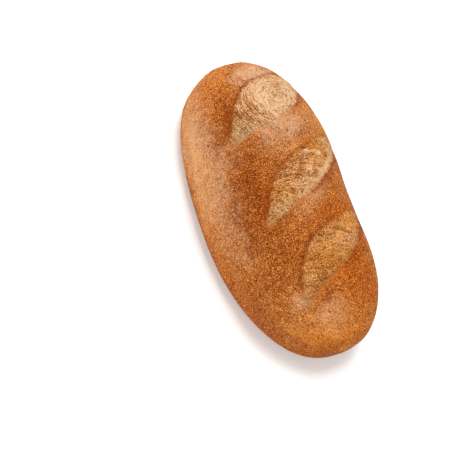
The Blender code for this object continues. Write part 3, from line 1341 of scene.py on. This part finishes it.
@dataclass(frozen=True)
class Wire:
    """A socket's output that takes part in sums: each operator adds a Math node."""

    graph: "Graph"
    socket: bpy.types.NodeSocket

    def __add__(self, other: "Wire | float") -> "Wire":
        """This plus other."""
        return self.graph.math("ADD", self, other)

    def __radd__(self, other: float) -> "Wire":
        """other plus this."""
        return self.graph.math("ADD", other, self)

    def __sub__(self, other: "Wire | float") -> "Wire":
        """This minus other."""
        return self.graph.math("SUBTRACT", self, other)

    def __rsub__(self, other: float) -> "Wire":
        """other minus this."""
        return self.graph.math("SUBTRACT", other, self)

    def __mul__(self, other: "Wire | float") -> "Wire":
        """This times other."""
        return self.graph.math("MULTIPLY", self, other)

    def __rmul__(self, other: float) -> "Wire":
        """other times this."""
        return self.graph.math("MULTIPLY", other, self)


@dataclass(frozen=True)
class Graph:
    """A material's nodes."""

    material: bpy.types.Material

    @classmethod
    def named(cls, name: str) -> "Graph":
        """A new material of this name, with Blender's own shader and output.

        Args:
            name: its name.

        Returns:
            The nodes.
        """
        material = bpy.data.materials.new(name)
        material.use_nodes = True
        return cls(material)

    def node(self, kind: str, settings: dict | None = None, inputs: dict | None = None) -> bpy.types.Node:
        """Adds a node.

        Args:
            kind: its type, such as "ShaderNodeTexNoise".
            settings: its own settings, set first; "stops" are a ramp's (position, colour) pairs.
            inputs: a value or a Wire for each socket, by name or number.

        Returns:
            The node.
        """
        made = self.material.node_tree.nodes.new(kind)
        for key, value in (settings or {}).items():
            if key == "stops":
                self.set_stops(made.color_ramp, value)
            else:
                setattr(made, key, value)
        for key, value in (inputs or {}).items():
            if isinstance(value, Wire):
                self.material.node_tree.links.new(value.socket, made.inputs[key])
            else:
                made.inputs[key].default_value = value
        return made

    @staticmethod
    def set_stops(ramp: bpy.types.ColorRamp, stops: tuple[tuple[float, Colour], ...]) -> None:
        """Gives a colour ramp these (position, colour) stops.

        Args:
            ramp: the ramp.
            stops: the stops.
        """
        while len(ramp.elements) < len(stops):
            ramp.elements.new(1.0)
        for element, (position, colour) in zip(ramp.elements, stops):
            element.position = position
            element.color = (*colour, 1.0)

    def wire(
        self, kind: str, output: int | str, settings: dict | None = None, inputs: dict | None = None
    ) -> Wire:
        """Adds a node and gives one of its outputs."""
        return Wire(self, self.node(kind, settings, inputs).outputs[output])

    def math(self, operation: str, first: Wire | float, second: Wire | float) -> Wire:
        """One Math node."""
        return self.wire("ShaderNodeMath", 0, {"operation": operation}, {0: first, 1: second})

    def vector(self, operation: str, first: Wire, second: Wire | Colour) -> Wire:
        """One Vector Math node."""
        return self.wire("ShaderNodeVectorMath", 0, {"operation": operation}, {0: first, 1: second})

    def step(self, value: Wire, low: float, high: float) -> Wire:
        """0 below low, 1 above high, smooth between."""
        inputs = {"Value": value, "From Min": low, "From Max": high}
        return self.wire("ShaderNodeMapRange", 0, {"interpolation_type": "SMOOTHSTEP"}, inputs)

    def mix(self, share: Wire, under: Wire | Colour, over: Wire | Colour, blend: str = "MIX") -> Wire:
        """This share of one colour over another.

        Args:
            share: share of the upper colour.
            under, over: the colours.
            blend: how they are blended.

        Returns:
            The blended colour.
        """
        under, over = (colour if isinstance(colour, Wire) else (*colour, 1.0) for colour in (under, over))
        settings = {"data_type": "RGBA", "blend_type": blend}
        return self.wire("ShaderNodeMix", 2, settings, {0: share, 6: under, 7: over})

    def attribute(self, name: str, vector: bool = False) -> Wire:
        """A number or vector kept on the mesh's points."""
        return self.wire("ShaderNodeAttribute", "Vector" if vector else "Fac", {"attribute_name": name})

    def millimetres(self) -> Wire:
        """The place on the object, in millimetres."""
        place = self.wire("ShaderNodeTexCoord", "Object")
        return self.vector("MULTIPLY", place, (1 / MM, 1 / MM, 1 / MM))

    def noise(self, place: Wire, size: float, detail: float, rough: float = 0.5, bend: float = 0.0) -> Wire:
        """Noise from 0 to 1 with features of this size, in the units of place."""
        inputs = {"Vector": place, "Scale": 1 / size, "Detail": detail}
        return self.wire("ShaderNodeTexNoise", 0, None, inputs | {"Roughness": rough, "Distortion": bend})

    def finish(self, **sockets: Wire | float | Colour) -> bpy.types.Material:
        """Sets the Principled BSDF's sockets, named with _ for a space, and gives the material.

        Args:
            sockets: what each socket gets.

        Returns:
            The material.
        """
        shader = self.material.node_tree.nodes["Principled BSDF"]
        for key, value in sockets.items():
            socket = shader.inputs[key.replace("_", " ")]
            if isinstance(value, Wire):
                self.material.node_tree.links.new(value.socket, socket)
            else:
                socket.default_value = (*value, 1.0) if isinstance(value, tuple) else value
        return self.material


@dataclass(frozen=True)
class Noise:
    """Smooth random tones, from about -0.5 to 0.5.

    Attributes:
        size: size of the features, in the units of the place.
        detail, rough: octaves of finer noise, and their strength.
        bend: how much the noise bends its own place.
    """

    size: float
    detail: float
    rough: float = 0.5
    bend: float = 0.0

    def at(self, graph: Graph, place: Wire) -> Wire:
        """The noise at a place."""
        return graph.noise(place, self.size, self.detail, self.rough, self.bend) - 0.5


@dataclass(frozen=True)
class Wrinkles:
    """Thin curly lines where a bent noise passes its middle.

    Attributes:
        size: size of the noise's features, in the units of the place.
        width: how far from its middle the noise still counts as a line.
        bend: how much the noise bends its own place.
        on_line: value on a line, 1 more than between the lines.
    """

    size: float
    width: float
    bend: float = 1.2
    on_line: float = 0.7

    def at(self, graph: Graph, place: Wire) -> Wire:
        """The wrinkles at a place: 0.7 on a line, -0.3 between the lines."""
        off = graph.math("ABSOLUTE", Noise(self.size, 2.0, 0.6, self.bend).at(graph, place), 0.0)
        return self.on_line - graph.step(off, 0.0, self.width)


@dataclass(frozen=True)
class Specks:
    """Scattered round specks of one kind of bran.

    Attributes:
        spacing: distance between possible specks, in millimetres.
        radius: radius of the largest, in millimetres; the smallest are 0.4 of it.
        share: share of the possible specks that are there.
        strength: how much of their colour shows.
        colour: their colour.
        edge: distances outside a speck and inside it between which it sets in, in millimetres.
    """

    spacing: float
    radius: float
    share: float
    strength: float
    colour: Colour
    edge: Pair = (-0.05, 0.12)

    def over(self, graph: Graph, place: Wire, colour: Wire) -> Wire:
        """Lays the specks over a colour.

        Args:
            graph: the material's nodes.
            place: where the point lies, in millimetres.
            colour: the colour between them.

        Returns:
            The colour with the specks.
        """
        cells = graph.node("ShaderNodeTexVoronoi", None, {"Vector": place, "Scale": 1 / self.spacing})
        parts = graph.node("ShaderNodeSeparateColor", None, {0: Wire(graph, cells.outputs["Color"])})
        chance, width = Wire(graph, parts.outputs[0]), Wire(graph, parts.outputs[1])
        reach = (width * 0.6 + 0.4) * (self.radius / self.spacing)
        low, high = (distance / self.spacing for distance in self.edge)
        inside = graph.step(reach - Wire(graph, cells.outputs["Distance"]), low, high)
        there = graph.math("LESS_THAN", chance, self.share)
        return graph.mix(inside * there * self.strength, colour, self.colour)


@dataclass(frozen=True)
class Pattern:
    """The wires that the crust's colours and bumps share. Each noise is less its middle, so it averages 0.

    Attributes:
        place: where the point lies, in millimetres.
        broad, mottle, grain: coarse, middling and fine noise.
        lines: thin curly wrinkles.
        coarse: how coarse the crust is, more where it is browned.
        fibre, cracks: noise and thin wrinkles along the strands of the torn dough.
    """

    place: Wire
    broad: Wire
    mottle: Wire
    grain: Wire
    lines: Wire
    coarse: Wire
    fibre: Wire
    cracks: Wire


@dataclass(frozen=True)
class CrustFinish:
    """Baked whole wheat crust and the torn dough in its cuts.

    In the sums of the methods, the number beside a pattern or an attribute is its weight.

    Attributes:
        name: name of the material.
        tone_span: tones at the two ends of the ramps.
        bake_stops: crust colours from the palest to the most browned.
        pad_stops: torn dough colours from browned to cream.
        broad, mottle, grain, lines: the shared noises and wrinkles, in millimetres.
        fibre, cracks: noise and wrinkles along the strands, in millimetres across them.
        strand_stretch: length of the finest strands' pattern over its width.
        curls, curl_places, curl_fade: pale wrinkles, the noise that chooses where they are, and its limits.
        hue: noise of the ruddy blotches.
        bump: height of the bumps.
        veil, groove, seam: painted sheen and reflection as a pale tan, crust in the shade of a far edge,
            ruddy lines along the cuts.
        gold, grey, ruddy: tints of golden crust and dough, of greyish torn dough and of ruddy blotches.
        crumb, hole: pale crumbs and folds, and a dark colour that paints shade in holes, pits and creases and
            colours the dark spots.
        specks: pale and dark specks of bran.
    """

    name: str = "whole_wheat_crust"
    tone_span: Pair = (-0.3, 1.4)
    bake_stops: tuple[tuple[float, Colour], ...] = (
        (0.0, (0.84, 0.56, 0.27)),
        (0.18, (0.74, 0.40, 0.14)),
        (0.32, (0.59, 0.235, 0.050)),
        (0.47, (0.45, 0.135, 0.017)),
        (0.62, (0.335, 0.080, 0.006)),
        (0.77, (0.215, 0.044, 0.002)),
        (1.0, (0.10, 0.018, 0.001)),
    )
    pad_stops: tuple[tuple[float, Colour], ...] = (
        (0.0, (0.13, 0.035, 0.005)),
        (0.18, (0.29, 0.095, 0.018)),
        (0.38, (0.44, 0.180, 0.048)),
        (0.53, (0.53, 0.275, 0.115)),
        (0.77, (0.68, 0.46, 0.275)),
        (1.0, (0.82, 0.62, 0.43)),
    )
    broad: Noise = Noise(11.0, 3.0)
    mottle: Noise = Noise(3.6, 4.0, 0.6)
    grain: Noise = Noise(0.53, 1.5, 0.7)
    lines: Wrinkles = Wrinkles(1.25, 0.09)
    fibre: Noise = Noise(1.0, 3.0, 0.7, 1.0)
    cracks: Wrinkles = Wrinkles(1.4, 0.06, bend=0.9)
    strand_stretch: float = 3.2
    curls: Wrinkles = Wrinkles(2.7, 0.045)
    curl_places: Noise = Noise(2.1, 1.0)
    curl_fade: Pair = (-0.15, 0.05)
    hue: Noise = Noise(3.2, 2.0)
    bump: float = 0.2 * MM
    # Pale tan that paints sheen and reflection on the crust.
    veil: Colour = (0.68, 0.455, 0.295)
    groove: Colour = (0.25, 0.055, 0.005)
    seam: Colour = (0.24, 0.060, 0.032)
    gold: Colour = (1.0, 0.74, 0.33)
    grey: Colour = (0.80, 0.93, 0.95)
    ruddy: Colour = (1.03, 0.93, 0.90)
    crumb: Colour = (0.82, 0.62, 0.44)
    hole: Colour = (0.07, 0.022, 0.007)
    specks: tuple[Specks, ...] = (
        Specks(1.7, 0.4, share=0.5, strength=0.3, colour=(0.62, 0.34, 0.11)),
        Specks(2.9, 0.5, share=0.4, strength=0.7, colour=(0.12, 0.035, 0.010)),
    )

    def pattern(self, graph: Graph) -> Pattern:
        """Adds the noises that the crust and the torn dough share.

        Args:
            graph: the material's nodes.

        Returns:
            The shared pattern.
        """
        place = graph.millimetres()
        stretch = (1 / MM, 1 / MM / self.strand_stretch, 1 / MM)
        strands = graph.vector("MULTIPLY", graph.attribute("strands", vector=True), stretch)
        return Pattern(
            place=place,
            broad=self.broad.at(graph, place),
            mottle=self.mottle.at(graph, place),
            grain=self.grain.at(graph, place),
            lines=self.lines.at(graph, place),
            coarse=graph.step(graph.attribute("browning"), -0.1, 0.9) * 0.75 + 0.4,
            fibre=self.fibre.at(graph, strands),
            cracks=self.cracks.at(graph, strands),
        )

    def ramp(self, graph: Graph, stops: tuple[tuple[float, Colour], ...], tone: Wire) -> Wire:
        """The colour of a tone between these stops, which spread over the tone span."""
        low, high = self.tone_span
        return graph.wire("ShaderNodeValToRGB", 0, {"stops": stops}, {0: (tone - low) * (1 / (high - low))})

    def crust(self, graph: Graph, on: Pattern) -> Wire:
        """Baked crust: its browning, with the painted sheen, the grooves' shade and the ruddy lines over it.

        Args:
            graph: the material's nodes.
            on: the shared pattern.

        Returns:
            Its colour.
        """
        groove, sheeny = graph.attribute("groove"), graph.attribute("veil")
        shade = graph.attribute("bank") * 0.22 + groove * 0.25 + on.broad * 0.3 + on.mottle * 0.2
        browning = graph.attribute("browning") + shade + (on.grain * 2.7 - on.lines * 0.7) * on.coarse
        crust = self.ramp(graph, self.bake_stops, browning)
        curls = self.curls.at(graph, on.place) + 0.3
        curls = curls * graph.step(self.curl_places.at(graph, on.place), *self.curl_fade)
        # Painted sheen and reflection: a pale tan mixed over the baked crust.
        veil = sheeny + graph.attribute("crumb") * 0.3
        veil = veil * (1 + on.mottle + on.grain * 3.0 + on.lines * 0.7)
        crust = graph.mix(veil + curls * (graph.step(sheeny, 0.0, 0.2) * 0.5 + 0.1), crust, self.veil)
        crust = graph.mix(groove * (0.55 + on.grain * 1.5 + on.mottle * 1.2), crust, self.groove)
        seam = graph.step(graph.attribute("seam") + on.grain * 1.2 + on.mottle * 0.6, 0.2, 0.9)
        return graph.mix(seam * (0.65 + on.grain * 1.5), crust, self.seam)

    def pad(self, graph: Graph, on: Pattern) -> Wire:
        """Torn dough: its paleness, with strands where it is stringy and grain elsewhere, and a grey tint.

        Args:
            graph: the material's nodes.
            on: the shared pattern.

        Returns:
            Its colour.
        """
        pale, stringy = graph.attribute("paleness"), graph.attribute("stringy")
        rough = (1.8 - pale * 0.85) * stringy
        paleness = pale + (on.fibre * 1.1 - on.cracks * 0.6) * rough
        paleness = paleness + on.grain * (5.6 - stringy - pale * 0.9) + on.mottle * 0.35 - on.lines * 0.4
        paleness = paleness + (graph.attribute("ridge") - 0.4) * 0.2 + graph.attribute("crumb") * 0.5
        pad = self.ramp(graph, self.pad_stops, paleness)
        return graph.mix(graph.attribute("grey"), pad, self.grey, "MULTIPLY")

    def colour(self, graph: Graph, on: Pattern) -> Wire:
        """Crust and torn dough together, tinted, with the crumbs, the holes and the specks of bran.

        Args:
            graph: the material's nodes.
            on: the shared pattern.

        Returns:
            The colour.
        """
        crumb, torn = graph.attribute("crumb"), graph.attribute("torn")
        colour = graph.mix(torn, self.crust(graph, on), self.pad(graph, on))
        colour = graph.mix(graph.attribute("gold"), colour, self.gold, "MULTIPLY")
        hue = self.hue.at(graph, on.place)
        colour = graph.mix(hue * 2.5 + 0.5, colour, self.ruddy, "MULTIPLY")
        colour = graph.mix(crumb * (0.75 + on.grain * 2.0 + on.mottle * 2.0), colour, self.crumb)
        # Painted shade in the holes, pits, cracks and creases, and the dark spots' own colour.
        colour = graph.mix(graph.attribute("hole") * 0.85, colour, self.hole)
        for specks in self.specks:
            colour = specks.over(graph, on.place, colour)
        return colour

    def material(self) -> bpy.types.Material:
        """Builds the material.

        Returns:
            The material.
        """
        graph = Graph.named(self.name)
        on = self.pattern(graph)
        torn, stringy = graph.attribute("torn"), graph.attribute("stringy")
        height = (on.grain * 1.4 + on.lines * 0.3) * on.coarse + on.mottle * 0.6
        height = height + (on.fibre * stringy + on.grain - on.cracks * (stringy * 0.4)) * torn
        bumps = {"Strength": 1.0, "Distance": self.bump, "Height": height}
        return graph.finish(
            Base_Color=self.colour(graph, on),
            Roughness=0.62 + on.mottle * 0.2 + torn * 0.2,
            Specular_IOR_Level=0.04,
            Normal=graph.wire("ShaderNodeBump", 0, None, bumps),
        )


@dataclass(frozen=True)
class BranFinish:
    """Bran flakes of one kind, each with its own tone between two colours."""

    kind: BranKind
    darker: Colour
    lighter: Colour

    def material(self) -> bpy.types.Material:
        """Builds the material.

        Returns:
            The material.
        """
        graph = Graph.named(self.kind.value)
        return graph.finish(
            Base_Color=graph.mix(graph.attribute("tone"), self.darker, self.lighter),
            Roughness=0.7,
            Specular_IOR_Level=0.1,
        )


# ---------------------------------------------------------------- studio


@dataclass(frozen=True)
class Lamp:
    """A square lamp that faces the loaf.

    Attributes:
        name: its name.
        towards: direction to it from the loaf, as shares of the picture's right, up and backward directions.
        distance: how far away it stands.
        side: length of its side.
        watts: its power.
        colour: its light's colour.
    """

    name: str
    towards: tuple[float, float, float]
    distance: float
    side: float
    watts: float
    colour: Colour


@dataclass(frozen=True)
class Studio:
    """A pale floor, a soft sky, a lamp from above, one from the left, and the camera.

    Attributes:
        picture_side, focal_pixels: the picture's side and the camera's focal length, in pixels.
        azimuth, elevation, roll: the camera's direction from the pivot, and its turn about its own axis.
        distance: from the pivot to the camera.
        pivot: the point that the camera is placed round.
        aim_left, aim_down: how far left of it and below it the camera aims, in the picture.
        floor_side, floor_colour: the floor's side and colour.
        floor_glow: strength of the floor's own light, which keeps it white.
        sky_colour, sky_strength: the light from all round.
        lamps: the lamps.
    """

    picture_side: int = 453
    focal_pixels: float = 1830.3
    azimuth: float = np.radians(-65.10)
    elevation: float = np.radians(57.52)
    roll: float = np.radians(46.08)
    distance: float = 0.9
    pivot: tuple[float, float, float] = (0.0, 0.0, 0.025)
    aim_left: float = 26.9 * MM
    aim_down: float = 10.8 * MM
    floor_side: float = 8.0
    floor_colour: Colour = (0.86, 0.855, 0.85)
    floor_glow: float = 0.32
    sky_colour: Colour = (1.0, 0.99, 0.98)
    sky_strength: float = 0.54
    lamps: tuple[Lamp, ...] = (
        Lamp("key", (0.28, 0.62, 0.74), 1.6, 0.7, 22.0, (1.0, 0.98, 0.95)),
        Lamp("fill", (-0.85, -0.1, 0.5), 1.6, 1.2, 9.0, (1.0, 0.99, 0.98)),
    )

    def camera_axes(self) -> tuple[Vector, Vector, Vector]:
        """The photograph's right, up and backward directions, before the camera is aimed off the pivot.

        Returns:
            Three unit vectors.
        """
        back = Vector((
            np.cos(self.elevation) * np.cos(self.azimuth),
            np.cos(self.elevation) * np.sin(self.azimuth),
            np.sin(self.elevation),
        ))
        level = Vector((0, 0, 1)).cross(back).normalized()
        upright = back.cross(level)
        right = level * np.cos(self.roll) + upright * np.sin(self.roll)
        return right, back.cross(right), back

    def place_camera(self) -> bpy.types.Object:
        """Puts the camera at its distance from the pivot and aims it beside the loaf.

        Returns:
            The camera.
        """
        right, up, back = self.camera_axes()
        pivot = Vector(self.pivot)
        eye = pivot + back * self.distance
        target = pivot - right * self.aim_left - up * self.aim_down
        behind = (eye - target).normalized()
        side = (right - behind * right.dot(behind)).normalized()
        axes = Matrix((side, behind.cross(side), behind)).transposed()
        data = bpy.data.cameras.new("camera")
        data.lens = self.focal_pixels * data.sensor_width / self.picture_side
        data.clip_start, data.clip_end = 0.01, 50
        camera = bpy.data.objects.new("camera", data)
        camera.matrix_world = Matrix.Translation(eye) @ axes.to_4x4()
        bpy.context.scene.collection.objects.link(camera)
        bpy.context.scene.camera = camera
        return camera

    def light(self) -> None:
        """Puts up the lamps and an even sky."""
        axes = self.camera_axes()
        pivot = Vector(self.pivot)
        for lamp in self.lamps:
            towards = sum((axis * share for axis, share in zip(axes, lamp.towards)), Vector()).normalized()
            data = bpy.data.lights.new(lamp.name, "AREA")
            data.size, data.energy, data.color = lamp.side, lamp.watts, lamp.colour
            light = bpy.data.objects.new(lamp.name, data)
            light.location = pivot + towards * lamp.distance
            light.rotation_mode = "QUATERNION"
            light.rotation_quaternion = towards.to_track_quat("Z", "Y")
            bpy.context.scene.collection.objects.link(light)
        world = bpy.data.worlds.new("sky")
        world.use_nodes = True
        background = world.node_tree.nodes["Background"]
        background.inputs["Color"].default_value = (*self.sky_colour, 1.0)
        background.inputs["Strength"].default_value = self.sky_strength
        bpy.context.scene.world = world
        bpy.context.scene.view_settings.view_transform = "Standard"

    def floor(self) -> bpy.types.Object:
        """A pale square under the loaf.

        Returns:
            The floor.
        """
        half = self.floor_side / 2
        points = np.array([(-half, -half, 0), (half, -half, 0), (half, half, 0), (-half, half, 0)])
        floor = put_mesh("floor", points, [[0, 1, 2, 3]], {})
        finish = Graph.named("floor").finish(
            Base_Color=self.floor_colour,
            Roughness=0.9,
            Emission_Color=self.floor_colour,
            Emission_Strength=self.floor_glow,
        )
        floor.data.materials.append(finish)
        return floor


BRAN = (
    (
        BranFlakes(BranKind.DARK, count=800, reach=(0.2, 0.55), rise=0.10, seed=70),
        BranFinish(BranKind.DARK, darker=(0.12, 0.036, 0.010), lighter=(0.28, 0.09, 0.025)),
    ),
    (
        BranFlakes(BranKind.PALE, count=2200, reach=(0.16, 0.42), rise=0.12, seed=71),
        BranFinish(BranKind.PALE, darker=(0.48, 0.19, 0.04), lighter=(0.64, 0.36, 0.13)),
    ),
)


def main() -> None:
    """Builds the loaf and the studio."""
    logging.basicConfig(level=logging.INFO, format="%(name)s: %(message)s")
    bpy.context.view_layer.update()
    crust, skin, torn = LoafCrust().build()
    crust.data.materials.append(CrustFinish().material())
    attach(crust, BODY)
    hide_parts(NODE)
    log.info("%s: %d points, %d faces", crust.name, len(crust.data.vertices), len(crust.data.polygons))
    for flakes, finish in BRAN:
        bran = flakes.build(skin, torn)
        bran.data.materials.append(finish.material())
        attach(bran, BODY)
        log.info("%s: %d faces", bran.name, len(bran.data.polygons))
    studio = Studio()
    floor = studio.floor()
    log.info("%s: %.1f m wide", floor.name, studio.floor_side)
    studio.light()
    studio.place_camera()


if __name__ == "__main__":
    main()
